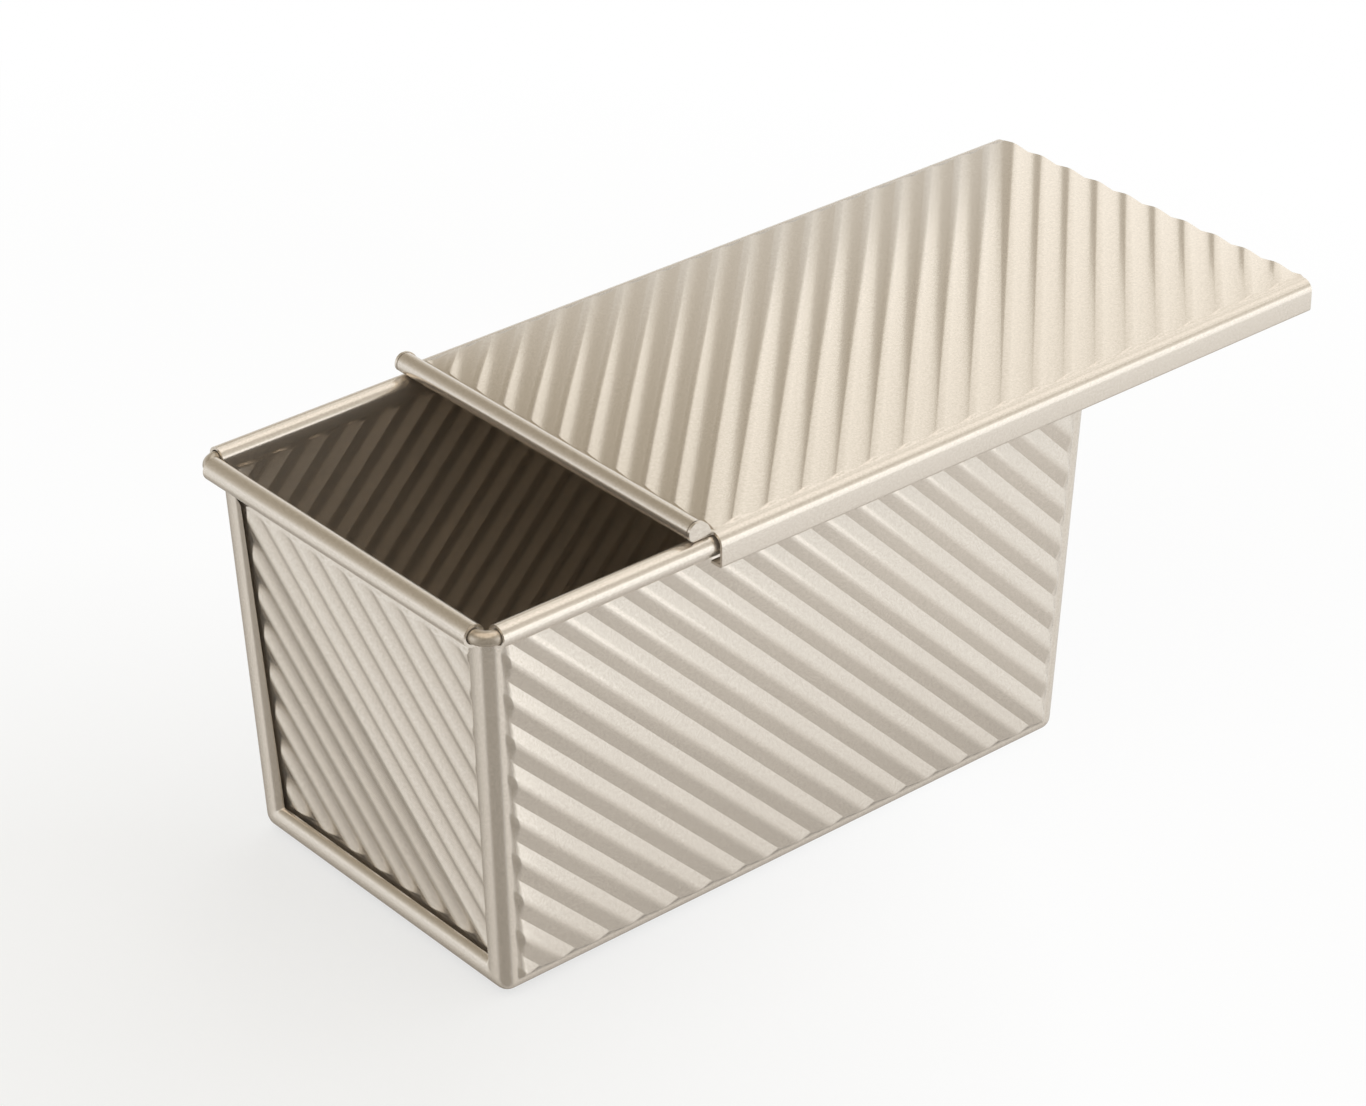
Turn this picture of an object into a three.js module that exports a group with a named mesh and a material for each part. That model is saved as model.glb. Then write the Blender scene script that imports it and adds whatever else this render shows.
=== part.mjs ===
import * as THREE from 'three'

// Loaf pan of diagonally ribbed steel sheet with a sliding lid.
// Lengths are in millimetres and angles in degrees. X runs along the pan, Y across it and Z up.
// The rib crests of the bottom stand on Z = 0, and the lid is drawn partly slid off towards +X.

// Sheet, wire and the gap left between pieces that touch
const sheetThickness = 0.8
const wireRadius = 2
const fitGap = 0.3

// Overall size of the pan over its rims and its rib crests
const panLength = 213.4
const panWidth = 121.9
const panHeight = 114.7

// Ribs at 45 degrees with flat crests, straight flanks and sharp valleys level with the margins
const ribPitch = 11.46
const plateRibPitch = 11.63
const ribHeight = 1.3
const lidRibHeight = 0.8
const crestShare = 0.26
const wrapperCrestPlace = -1
const lidCrestPlace = 10.6
const plateCrestPlace = 5.2

// Wrapper: bottom and long sides in one sheet
const wallInsetAtBase = 8.75
const lipInsetAtBase = 9.85
const lipInsetAtTop = 5.1
const bottomBendRadius = 3.5
const sideBeadInset = 7
const curlSweep = 280

// Margins and fade-out of the ribs on the wrapper
const bendMargin = 0.3
const rimMargin = 2
const cornerMargin = 0.5
const bendFade = 2
const cornerFade = 2.5

// Hem folded round the U-shaped ends of the wrapper
const hemCornerRadius = 4
const hemLipFlat = 0.8
const hemBackDepth = 3
const hemMitreRadius = 0.4
const hemTopDrop = 4.1
const hemReliefHeight = 1
const hemCutHeight = 5.5
const hemBackGap = 1.2

// End plates, set back inside the hem
const plateSetBack = 3.9
const plateInsetAtTop = 7.1
const plateRibGap = 0.3
const plateFade = 1.5
const plateTopBand = 8
const plateTopMargin = 0.6
const plateTopFade = 2
const plateFlangePlace = 2.2
const plateFlangeSetBack = 1.8
const endBeadInset = 6.95

// Wire ring in the rims
const wireCornerRadius = 4

// Lid, drawn as far open as lidSlide says. Its places along X are counted from its bead.
const lidSlide = 72.5
const lidOverhang = 4.3
const lidRearInset = 0.1
const lidSideGap = 0.75
const lidCornerRadius = 3.2
const lidLipRadius = 1.2
const lidFlangeHeight = 9.3
const lidLipWidth = 4.2
const lidFlangeStart = 5.4
const lidSideMargin = 0.2
const lidSideFade = 1.3
const lidFrontMargin = 0.1
const lidFrontFade = 1.2
const lidCurlRadius = 2
const lidCurlSweep = 290
const lidEarInset = 0.7
const lidEarReach = 4.3
const lidEarTopAngle = 75

// Fineness of the curves and the reach within which two points are one
const curlSegments = 12
const earSegments = 7
const bendSegments = 3
const wireSegments = 12
const wireCornerSegments = 5
const mergeReach = 0.02

// Places that follow from the sizes above
const marginLevel = ribHeight
const curlRadius = wireRadius + fitGap
const beadRadius = curlRadius + sheetThickness
const beadLevel = panHeight - beadRadius
const sideBeadPlace = panWidth / 2 - beadRadius
const endBeadPlace = panLength / 2 - beadRadius
const sideHeight = beadLevel - marginLevel
const hemDepth = hemCornerRadius + hemLipFlat + hemBackDepth
const baseHalfWidth = panWidth / 2 - wallInsetAtBase
const baseHalfLength = panLength / 2 - lipInsetAtBase
const sideBeadHalfLength = panLength / 2 - sideBeadInset
const endBeadHalfWidth = panWidth / 2 - endBeadInset
const lipSlope = (lipInsetAtBase - lipInsetAtTop) / sideHeight
const plateBaseHalfLength = baseHalfLength - plateSetBack
const plateSlope = (panLength / 2 - plateInsetAtTop - plateBaseHalfLength) / sideHeight
const plateBandLevel = beadLevel - plateTopBand
const lidTop = panHeight + fitGap + sheetThickness
const lidHalfWidth = panWidth / 2 + lidSideGap + sheetThickness
const lidBendPlace = lidHalfWidth - lidCornerRadius
const lidBeadHalfWidth = lidBendPlace - lidEarInset
const lidBeadPlace = lidSlide - panLength / 2 - lidOverhang
const lidRearEdge = lidSlide + panLength / 2 - lidRearInset
const lidFlangeFront = lidBeadPlace + lidFlangeStart
const lidEarRear = lidBeadPlace + lidEarReach
const lidEarRadius = fitGap
const lidEarRound = lidCurlRadius + sheetThickness
const lidEarHeight = lidCurlRadius + lidEarRound

const valleyShare = 1 / 2
const creaseShares = [-crestShare / 2, crestShare / 2, valleyShare]
const rightAngle = Math.PI / 2
const radians = THREE.MathUtils.degToRad

// A path in a plane, made of straight runs and arcs and read by the distance along it
class Path {
  constructor(a, b, heading) {
    this.end = { a, b, heading }
    this.length = 0
    this.stops = [0]
    this.runs = []
  }

  line(length) {
    return this.run(length, 0, 1)
  }

  // A positive turn bends to the left
  arc(radius, turn, segments) {
    return this.run(radius * Math.abs(turn), Math.sign(turn) / radius, segments)
  }

  run(length, curvature, segments) {
    const run = { ...this.end, from: this.length, curvature }
    this.runs.push(run)
    for (let step = 1; step <= segments; step++) {
      this.stops.push(this.length + length * step / segments)
    }
    this.length += length
    this.end = this.along(run, length)
    return this
  }

  along(run, distance) {
    const heading = run.heading + run.curvature * distance
    if (run.curvature === 0) {
      const a = run.a + distance * Math.cos(heading)
      return { a, b: run.b + distance * Math.sin(heading), heading }
    }
    const a = run.a + (Math.sin(heading) - Math.sin(run.heading)) / run.curvature
    const b = run.b - (Math.cos(heading) - Math.cos(run.heading)) / run.curvature
    return { a, b, heading }
  }

  // The point at a distance, shifted to the left by an offset
  at(distance, offset) {
    const run = this.runs.findLast((candidate) => candidate.from <= distance + mergeReach)
    const place = this.along(run, distance - run.from)
    const a = place.a - offset * Math.sin(place.heading)
    const b = place.b + offset * Math.cos(place.heading)
    return { a, b }
  }
}

// A mesh of triangles as a geometry with its faces turned outwards
function closedGeometry(points, triangles) {
  const normal = new THREE.Vector3()
  let volume = 0
  for (const [p, q, r] of triangles) {
    volume += points[p].dot(normal.crossVectors(points[q], points[r]))
  }
  const faces = volume > 0 ? triangles : triangles.map(([p, q, r]) => [p, r, q])
  const geometry = new THREE.BufferGeometry()
  geometry.setFromPoints(points)
  geometry.setIndex(faces.flat())
  const faceted = geometry.toNonIndexed()
  faceted.computeVertexNormals()
  return faceted
}

// A piece of sheet metal laid out flat. Each point knows its place on the flat blank and where
// its outer and inner faces go when the blank is folded.
class Blank {
  constructor() {
    this.points = []
    this.triangles = []
  }

  index(point) {
    const known = this.points.findIndex((other) => other.flat.distanceTo(point.flat) < mergeReach)
    if (known >= 0) {
      return known
    }
    return this.points.push(point) - 1
  }

  triangle(first, second, third) {
    const corners = [first, second, third].map((point) => this.index(point))
    if (new Set(corners).size < corners.length) {
      return
    }
    const [p, q, r] = corners.map((corner) => this.points[corner].flat)
    const area = q.clone().sub(p).cross(r.clone().sub(p))
    if (Math.abs(area) < mergeReach * mergeReach) {
      return
    }
    this.triangles.push(area > 0 ? corners : corners.reverse())
  }

  polygon(points) {
    for (let corner = 2; corner < points.length; corner++) {
      this.triangle(points[0], points[corner - 1], points[corner])
    }
  }

  // Fills the strip between two rows of points, always taking the shorter step
  strip(left, right) {
    let a = 0
    let b = 0
    while (a < left.length - 1 || b < right.length - 1) {
      const stepA = a < left.length - 1 ? left[a + 1].flat.distanceTo(right[b].flat) : Infinity
      const stepB = b < right.length - 1 ? right[b + 1].flat.distanceTo(left[a].flat) : Infinity
      if (stepA <= stepB) {
        this.triangle(left[a], left[a + 1], right[b])
        a++
      } else {
        this.triangle(left[a], right[b], right[b + 1])
        b++
      }
    }
  }

  // Fills between neighbouring rows that have the same number of points
  grid(rows) {
    for (let row = 1; row < rows.length; row++) {
      for (let column = 1; column < rows[row].length; column++) {
        const below = rows[row - 1]
        const above = rows[row]
        this.polygon([below[column - 1], below[column], above[column], above[column - 1]])
      }
    }
  }

  // Both faces of the folded sheet and the cut edges between them
  geometry() {
    const count = this.points.length
    const outer = this.points.map((point) => point.outer)
    const inner = this.points.map((point) => point.inner)
    const edges = new Set()
    const skin = []
    for (const [p, q, r] of this.triangles) {
      skin.push([p, q, r], [p + count, r + count, q + count])
      for (const [from, to] of [[p, q], [q, r], [r, p]]) {
        edges.add(`${from} ${to}`)
      }
    }
    for (const edge of edges) {
      const [from, to] = edge.split(' ').map(Number)
      if (!edges.has(`${to} ${from}`)) {
        skin.push([to, from, from + count], [to, from + count, to + count])
      }
    }
    return closedGeometry([...outer, ...inner], skin)
  }
}

// Ribs with their crests a pitch apart, counted from one crest's place
class Ribs {
  constructor(pitch, crestPlace, height) {
    this.pitch = pitch
    this.crestPlace = crestPlace
    this.height = height
  }

  // Height at a place read across the ribs
  heightAt(across) {
    const turns = (across - this.crestPlace) / this.pitch
    const offCrestShare = Math.abs(turns - Math.round(turns))
    const flankShare = valleyShare - crestShare / 2
    return this.height * Math.min(1, (valleyShare - offCrestShare) / flankShare)
  }

  // Every crease between two places read across the ribs, with some to spare
  creases(low, high) {
    const creases = []
    const firstRib = Math.floor((low - this.crestPlace) / this.pitch) - 1
    const lastRib = Math.ceil((high - this.crestPlace) / this.pitch) + 1
    for (let rib = firstRib; rib <= lastRib; rib++) {
      for (const share of creaseShares) {
        creases.push(this.crestPlace + (rib + share) * this.pitch)
      }
    }
    return creases
  }
}

function between(first, second, share) {
  const mix = (name) => first[name] + (second[name] - first[name]) * share
  return { u: mix('u'), v: mix('v'), fade: mix('fade') }
}

// The place of a point of a blank read across its ribs, which run at 45 degrees
function acrossRibs(point) {
  return point.u - point.v
}

function pastCrease(across, crease) {
  const distance = across - crease
  return Math.abs(distance) < mergeReach ? 0 : distance
}

// A panel with full ribs in the field that fade out to nothing at the edge. Field and edge are
// four corners each.
class RibbedPanel {
  constructor(blank, field, edge, ribs, fold) {
    this.blank = blank
    this.edge = edge.map(([u, v]) => ({ u, v, fade: 0 }))
    this.ribs = ribs
    this.fold = fold
    const full = field.map(([u, v]) => ({ u, v, fade: 1 }))
    this.addRibs(full)
    this.edge.forEach((corner, side) => {
      const next = (side + 1) % edge.length
      this.addRibs([corner, this.edge[next], full[next], full[side]])
    })
  }

  // Keeps the part of a polygon on one side of a crease. A corner close to the crease is on it.
  clip(polygon, crease, sign) {
    const kept = []
    polygon.forEach((point, index) => {
      const next = polygon[(index + 1) % polygon.length]
      const here = sign * pastCrease(acrossRibs(point), crease)
      const there = sign * pastCrease(acrossRibs(next), crease)
      if (here >= 0) {
        kept.push(point)
      }
      if (here * there < 0) {
        kept.push(between(point, next, here / (here - there)))
      }
    })
    return kept
  }

  addRibs(polygon) {
    const places = polygon.map(acrossRibs)
    const creases = this.ribs.creases(Math.min(...places), Math.max(...places))
    for (let index = 1; index < creases.length; index++) {
      const above = this.clip(polygon, creases[index - 1], 1)
      const facet = this.clip(above, creases[index], -1)
      this.blank.polygon(facet.map((point) => this.ribPoint(point)))
    }
  }

  ribPoint(point) {
    return this.fold(point.u, point.v, this.ribs.heightAt(acrossRibs(point)) * point.fade)
  }

  // The points of one side of the edge, with one at each crease that reaches it
  side(index) {
    const first = this.edge[index]
    const second = this.edge[(index + 1) % this.edge.length]
    const from = acrossRibs(first)
    const to = acrossRibs(second)
    const shares = this.ribs.creases(Math.min(from, to), Math.max(from, to))
      .filter((crease) => pastCrease(from, crease) * pastCrease(to, crease) < 0)
      .map((crease) => (crease - from) / (to - from))
      .sort((one, other) => one - other)
    return [0, ...shares, 1].map((share) => this.ribPoint(between(first, second, share)))
  }
}

// Angle from the vertical of a line that leaves a point and touches a bead on its inner side
function leanTo(place, level, beadPlace) {
  const out = beadPlace - place
  const up = beadLevel - level
  return Math.atan2(out, up) - Math.asin(curlRadius / Math.hypot(out, up))
}

function runTo(place, level, beadPlace) {
  return Math.sqrt((beadPlace - place) ** 2 + (beadLevel - level) ** 2 - curlRadius ** 2)
}

// Outer face of the wrapper across the pan, from the middle of the bottom to the end of the curl
const wallLean = leanTo(baseHalfWidth, marginLevel, sideBeadPlace)
const bottomTurn = rightAngle - wallLean
const bendTangent = bottomBendRadius * Math.tan(bottomTurn / 2)
const wallRun = runTo(baseHalfWidth, marginLevel, sideBeadPlace) - bendTangent
const section = new Path(0, marginLevel, 0)
  .line(baseHalfWidth - bendTangent)
  .arc(bottomBendRadius, bottomTurn, bendSegments)
  .line(wallRun)
  .arc(curlRadius, -radians(curlSweep), curlSegments)
const bottomEnd = baseHalfWidth - bendTangent
const wallStart = bottomEnd + bottomBendRadius * bottomTurn
const wallEnd = wallStart + wallRun
const bendStops = section.stops.filter((stop) => stop > bottomEnd && stop < wallStart)
const curlStops = section.stops.filter((stop) => stop > wallEnd + mergeReach)
const hemTop = wallEnd - hemTopDrop
const reliefTop = hemTop + hemReliefHeight
const hemCut = hemTop - hemCutHeight

// Hem from the start of its corner: out and round to the back of the lip
const hem = new Path(0, 0, 0)
  .arc(hemCornerRadius, rightAngle, bendSegments)
  .line(hemLipFlat)
  .arc(hemBackDepth, rightAngle, bendSegments)
const hemCornerEnd = hemCornerRadius * rightAngle

// Half length of the wrapper up to the start of its hem, at a height and at a place on the blank
function hemStart(level) {
  return baseHalfLength - hemCornerRadius + (level - marginLevel) * lipSlope
}

function hemStartAt(across) {
  return hemStart(Math.min(section.at(Math.abs(across), 0).b, beadLevel))
}

// Half length of the pan up to the valleys of an end plate
function plateFace(level) {
  return plateBaseHalfLength + (level - marginLevel) * plateSlope
}

// A point at a depth inside the wrapper's outer face. Round the bottom bends the depth beyond
// the sheet leans to a tight mitre, so that the hem can pass them.
function inside(reach, depth) {
  const bent = reach > bottomEnd - mergeReach && reach < wallStart + mergeReach
  if (!bent || depth <= sheetThickness) {
    return section.at(reach, depth)
  }
  const skin = section.at(reach, sheetThickness)
  const turned = (reach - bottomEnd) / bottomBendRadius
  const mitreDepth = hemDepth + hemMitreRadius
  const centre = baseHalfWidth - mitreDepth * Math.tan(bottomTurn / 2)
  const a = centre + hemMitreRadius * Math.sin(turned)
  const b = marginLevel + mitreDepth - hemMitreRadius * Math.cos(turned)
  const share = (depth - sheetThickness) / (hemDepth - sheetThickness)
  return { a: skin.a + (a - skin.a) * share, b: skin.b + (b - skin.b) * share }
}

// How far a point of the hem lies behind the lip's face. The back of the hem ends short of the
// end plate, whose distance from the lip changes with height.
function behindLip(out, offset, level) {
  const closed = hemStart(level) + hemCornerRadius - plateFace(level) - hemBackGap
  const share = (closed - offset) / (hemBackDepth - offset)
  return offset + (hemCornerRadius - out - offset) * share
}

// Folds a point of the wrapper's blank; along is X and across runs from side to side
function foldWrapper(along, across, lift) {
  const side = Math.sign(across)
  const end = Math.sign(along)
  const reach = Math.abs(across)
  const beyond = Math.abs(along) - hemStartAt(across)
  const flat = new THREE.Vector2(along, across)
  if (beyond < mergeReach || reach > hemTop + mergeReach) {
    const [outer, inner] = [-lift, sheetThickness - lift].map((depth) => {
      const place = inside(reach, depth)
      return new THREE.Vector3(along, side * place.a, place.b)
    })
    return { flat, outer, inner }
  }
  const [outer, inner] = [0, sheetThickness].map((offset) => {
    const turned = hem.at(beyond, offset)
    const place = inside(reach, turned.b)
    const pastLip = beyond > hemCornerEnd + mergeReach
    const behind = pastLip ? behindLip(turned.a, offset, place.b) : hemCornerRadius - turned.a
    const x = hemStart(place.b) + hemCornerRadius - behind
    return new THREE.Vector3(end * x, side * place.a, place.b)
  })
  return { flat, outer, inner }
}

// One ribbed panel of the wrapper between two places across the blank, with its plain margins
function addWrapperPanel(blank, low, high, sideStops) {
  const way = Math.sign(high.place - low.place)
  const corners = (inset, endInset) => {
    const lower = low.place + (low.margin + inset) * way
    const upper = high.place - (high.margin + inset) * way
    const lowerEnd = hemStartAt(lower) - endInset
    const upperEnd = hemStartAt(upper) - endInset
    return [[-lowerEnd, lower], [lowerEnd, lower], [upperEnd, upper], [-upperEnd, upper]]
  }
  const edge = corners(0, cornerMargin)
  const field = corners(bendFade, cornerMargin + cornerFade)
  const ribs = new Ribs(ribPitch, wrapperCrestPlace, ribHeight)
  const panel = new RibbedPanel(blank, field, edge, ribs, foldWrapper)
  const stops = [low.place, ...sideStops, high.place]
  const rim = (end, place) => foldWrapper(end * hemStartAt(place), place, 0)
  const rear = stops.map((place) => rim(1, place))
  const front = stops.map((place) => rim(-1, place)).reverse()
  blank.strip(panel.side(0), [rim(-1, low.place), rim(1, low.place)])
  blank.strip(panel.side(1), rear)
  blank.strip(panel.side(2), [rim(1, high.place), rim(-1, high.place)])
  blank.strip(panel.side(3), front)
}

// Height on the blank at which the hem is cut off, falling slantwise from lip to back
function hemCutAt(beyond) {
  const share = Math.max(0, beyond - hemCornerEnd) / (hem.length - hemCornerEnd)
  return hemTop + (hemCut - hemTop) * share
}

function bodyWrapper() {
  const blank = new Blank()
  const bottom = { place: bottomEnd, margin: bendMargin }
  addWrapperPanel(blank, { place: -bottomEnd, margin: bendMargin }, bottom, [])
  for (const side of [-1, 1]) {
    const wallFoot = { place: side * wallStart, margin: bendMargin }
    const wallHead = { place: side * wallEnd, margin: rimMargin }
    addWrapperPanel(blank, wallFoot, wallHead, [side * hemTop, side * reliefTop])

    // Bottom bend and curled rim, both plain along their whole length
    const reaches = (stops) => stops.map((reach) => {
      const end = hemStartAt(reach)
      return [foldWrapper(-end, side * reach, 0), foldWrapper(end, side * reach, 0)]
    })
    const bendRows = [bottomEnd, ...bendStops, wallStart]
    const curlRows = [wallEnd, ...curlStops]
    blank.grid(reaches(bendRows))
    blank.grid(reaches(curlRows))

    for (const end of [-1, 1]) {
      // End of the rim beside the hem's relief
      blank.grid([reliefTop, ...curlRows].map((reach) => [
        foldWrapper(end * hemStartAt(reach), side * reach, 0),
        foldWrapper(end * sideBeadHalfLength, side * reach, 0),
      ]))

      // Hem round the bend and up the side
      const hemRow = (reachAt) => hem.stops.map((beyond) => {
        const reach = reachAt(beyond)
        return foldWrapper(end * (hemStartAt(reach) + beyond), side * reach, 0)
      })
      blank.grid([...bendRows.map((reach) => hemRow(() => reach)), hemRow(hemCutAt)])
    }
  }
  for (const end of [-1, 1]) {
    // Hem along the bottom
    blank.grid([-bottomEnd, bottomEnd].map((place) => hem.stops.map((beyond) =>
      foldWrapper(end * (hemStartAt(bottomEnd) + beyond), place, 0))))
  }
  return blank.geometry()
}

// End plate at -X: a ribbed field, a margin under the hem's back with a short flange inside the
// hem, and a band that leans out to the curled rim
function endPlate() {
  const blank = new Blank()
  const fold = (y, z, lift) => {
    const face = -plateFace(z)
    const outer = new THREE.Vector3(face - lift, y, z)
    const inner = new THREE.Vector3(face - lift + sheetThickness, y, z)
    return { flat: new THREE.Vector2(y, z), outer, inner }
  }
  const halfWidthAt = (level, depth) =>
    baseHalfWidth + (level - marginLevel) * Math.tan(wallLean) - depth / Math.cos(wallLean)
  const corners = (depth, topInset) => {
    const foot = marginLevel + depth
    const head = plateBandLevel - topInset
    const footHalf = halfWidthAt(foot, depth)
    const headHalf = halfWidthAt(head, depth)
    return [[headHalf, head], [-headHalf, head], [-footHalf, foot], [footHalf, foot]]
  }
  const edgeDepth = hemDepth + plateRibGap
  const edge = corners(edgeDepth, plateTopMargin)
  const field = corners(edgeDepth + plateFade, plateTopMargin + plateTopFade)
  const ribs = new Ribs(plateRibPitch, plateCrestPlace, ribHeight)
  const panel = new RibbedPanel(blank, field, edge, ribs, fold)

  // Outline in the hem: its corner line on the plate's two faces, then the end of the flange
  const flangeOuter = plateFlangePlace + sheetThickness
  const bandReach = wallStart + (plateBandLevel - section.at(wallStart, 0).b) / Math.cos(wallLean)
  const outlinePoint = (side, reach) => {
    const outerPlace = inside(reach, flangeOuter)
    const innerPlace = inside(reach, plateFlangePlace)
    const outerY = side * outerPlace.a
    const innerY = side * innerPlace.a
    return {
      flat: new THREE.Vector2(outerY, outerPlace.b),
      outer: new THREE.Vector3(-plateFace(outerPlace.b), outerY, outerPlace.b),
      inner: new THREE.Vector3(sheetThickness - plateFace(innerPlace.b), innerY, innerPlace.b),
    }
  }
  const flangePoint = (side, reach) => {
    const root = outlinePoint(side, reach)
    const outer = root.outer.clone()
    const inner = root.inner.clone()
    for (const point of [outer, inner]) {
      point.x = plateFlangeSetBack - hemStart(point.z) - hemCornerRadius
    }
    return { flat: new THREE.Vector2(inner.y, inner.z), outer, inner }
  }
  const bends = [wallStart, ...bendStops.toReversed(), bottomEnd]
  const flangeReaches = [hemCut, ...bends]
  const around = (point, reaches) => [
    ...reaches.map((reach) => point(-1, reach)),
    ...reaches.toReversed().map((reach) => point(1, reach)),
  ]
  const inEdge = [...panel.side(1), ...panel.side(2).slice(1), ...panel.side(3).slice(1)]
  blank.strip(inEdge, around(outlinePoint, [bandReach, ...flangeReaches]))
  blank.grid([around(outlinePoint, flangeReaches), around(flangePoint, flangeReaches)])

  // Leaning band and curled rim above the field
  const bandEnds = [outlinePoint(1, bandReach), outlinePoint(-1, bandReach)]
  blank.strip(panel.side(0), bandEnds)
  const bandFace = -bandEnds[0].outer.x
  const bandStart = bandEnds[0].outer.z
  const lean = leanTo(bandFace, bandStart, endBeadPlace)
  const rim = new Path(bandFace, bandStart, rightAngle - lean)
    .line(runTo(bandFace, bandStart, endBeadPlace))
    .arc(curlRadius, -radians(curlSweep), curlSegments)
  const rimRows = rim.stops.slice(1).map((stop) => [1, -1].map((side) => {
    const [outer, inner] = [0, sheetThickness].map((offset) => {
      const place = rim.at(stop, offset)
      return new THREE.Vector3(-place.a, side * endBeadHalfWidth, place.b)
    })
    return { flat: new THREE.Vector2(side * endBeadHalfWidth, bandStart + stop), outer, inner }
  }))
  blank.grid([bandEnds, ...rimRows])
  return blank.geometry()
}

// Wire ring that lies in all four curled rims and shows at the corners
function rimWire() {
  const centres = []
  const corners = [[1, 1], [-1, 1], [-1, -1], [1, -1]]
  corners.forEach(([signX, signY], corner) => {
    for (let step = 0; step <= wireCornerSegments; step++) {
      const angle = (corner + step / wireCornerSegments) * rightAngle
      const out = new THREE.Vector3(Math.cos(angle), Math.sin(angle), 0)
      const x = signX * (endBeadPlace - wireCornerRadius) + wireCornerRadius * out.x
      const y = signY * (sideBeadPlace - wireCornerRadius) + wireCornerRadius * out.y
      centres.push({ out, centre: new THREE.Vector3(x, y, beadLevel) })
    }
  })
  const points = []
  const triangles = []
  centres.forEach(({ out, centre }, ring) => {
    const nextRing = (ring + 1) % centres.length
    for (let step = 0; step < wireSegments; step++) {
      const angle = 2 * Math.PI * step / wireSegments
      const point = centre.clone().addScaledVector(out, wireRadius * Math.cos(angle))
      point.z += wireRadius * Math.sin(angle)
      points.push(point)
      const next = (step + 1) % wireSegments
      const [here, beside] = [ring * wireSegments + step, ring * wireSegments + next]
      const [ahead, diagonal] = [nextRing * wireSegments + step, nextRing * wireSegments + next]
      triangles.push([here, ahead, diagonal], [here, diagonal, beside])
    }
  })
  return closedGeometry(points, triangles)
}

// Top face of the lid over its long edges, up its ears and over its front edge
const lidSide = new Path(lidBendPlace, lidTop, 0)
  .arc(lidCornerRadius, -rightAngle, bendSegments)
  .line(lidFlangeHeight - lidCornerRadius - lidLipRadius)
  .arc(lidLipRadius, -rightAngle, bendSegments)
  .line(lidLipWidth - lidLipRadius)
const lidEar = new Path(lidBeadHalfWidth, lidTop, 0)
  .arc(lidEarRadius, rightAngle, bendSegments)
  .line(lidEarHeight - lidEarRadius)
const lidFront = new Path(-lidBeadPlace, lidTop, 0)
  .arc(lidCurlRadius, radians(lidCurlSweep), curlSegments)

// Folds a point of the lid's blank; along is X and across runs from flange to flange
function foldLid(along, across, lift) {
  const side = Math.sign(across)
  const onEar = along < lidEarRear + mergeReach
  const beyond = Math.abs(across) - (onEar ? lidBeadHalfWidth : lidBendPlace)
  const flat = new THREE.Vector2(along, across)
  const [outer, inner] = [0, -sheetThickness].map((offset) => {
    if (beyond > mergeReach) {
      const place = (onEar ? lidEar : lidSide).at(beyond, offset)
      return new THREE.Vector3(along, side * place.a, place.b)
    }
    if (along < lidBeadPlace) {
      const place = lidFront.at(lidBeadPlace - along, offset)
      return new THREE.Vector3(-place.a, across, place.b)
    }
    return new THREE.Vector3(along, across, lidTop + offset + lift)
  })
  return { flat, outer, inner }
}

// Row of the ear that is bent up to close an end of the lid's bead, at a distance past the
// ear's root. Its front is round with the bead and its rear slopes down to the strip behind.
function lidEarRow(stop) {
  const bend = lidEarRadius * rightAngle
  const turned = Math.min(1, stop / bend)
  const bendRise = lidEarRadius * (1 - Math.cos(turned * rightAngle))
  const rise = stop > bend ? stop - bend + lidEarRadius : bendRise
  const front = turned * Math.sqrt(lidEarRound ** 2 - (rise - lidCurlRadius) ** 2)
  const rear = lidEarReach * Math.sqrt(1 - (rise / lidEarHeight) ** 2)
  return { stop, front: lidBeadPlace - front, rear: lidBeadPlace + rear }
}

function lidEarRows() {
  const bend = lidEarRadius * rightAngle
  const stops = lidEar.stops.filter((stop) => stop < bend + mergeReach)
  const lowAngle = Math.asin((lidEarRadius - lidCurlRadius) / lidEarRound)
  const turn = radians(lidEarTopAngle) - lowAngle
  for (let step = 1; step <= earSegments; step++) {
    const rise = lidCurlRadius + lidEarRound * Math.sin(lowAngle + turn * step / earSegments)
    stops.push(bend + rise - lidEarRadius)
  }
  return stops.map(lidEarRow)
}

function lidPanel() {
  const blank = new Blank()
  const corners = (frontInset, sideInset) => {
    const front = lidFlangeFront + frontInset
    const half = lidBendPlace - sideInset
    return [[front, -half], [lidRearEdge, -half], [lidRearEdge, half], [front, half]]
  }
  const edge = corners(lidFrontMargin, lidSideMargin)
  const field = corners(lidFrontMargin + lidFrontFade, lidSideMargin + lidSideFade)
  const ribs = new Ribs(ribPitch, lidCrestPlace, lidRibHeight)
  const panel = new RibbedPanel(blank, field, edge, ribs, foldLid)
  const frontRow = (along) => [-1, 1].map((side) => foldLid(along, side * lidBeadHalfWidth, 0))
  const sideRow = (side) => [
    foldLid(lidEarRear, side * lidBeadHalfWidth, 0),
    foldLid(lidFlangeFront, side * lidBendPlace, 0),
    foldLid(lidRearEdge, side * lidBendPlace, 0),
  ]
  blank.strip(panel.side(0), sideRow(-1))
  blank.strip(panel.side(2), sideRow(1).reverse())
  blank.strip(panel.side(3), frontRow(lidEarRear).reverse())

  // Plain front strip and the bead curled up from it
  blank.grid([frontRow(lidEarRear), frontRow(lidBeadPlace)])
  blank.grid(lidFront.stops.map((stop) => frontRow(lidBeadPlace - stop)))

  for (const side of [-1, 1]) {
    blank.grid(lidSide.stops.map((stop) => [lidFlangeFront, lidRearEdge].map((along) =>
      foldLid(along, side * (lidBendPlace + stop), 0))))
    blank.grid(lidEarRows().map(({ stop, front, rear }) => [front, rear].map((along) =>
      foldLid(along, side * (lidBeadHalfWidth + stop), 0))))
  }
  return blank.geometry()
}

// Champagne-coloured coating, darker on the wire that lies inside the rims
function coated(color) {
  return new THREE.MeshStandardMaterial({ color, roughness: 0.42, metalness: 0.55 })
}

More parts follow.
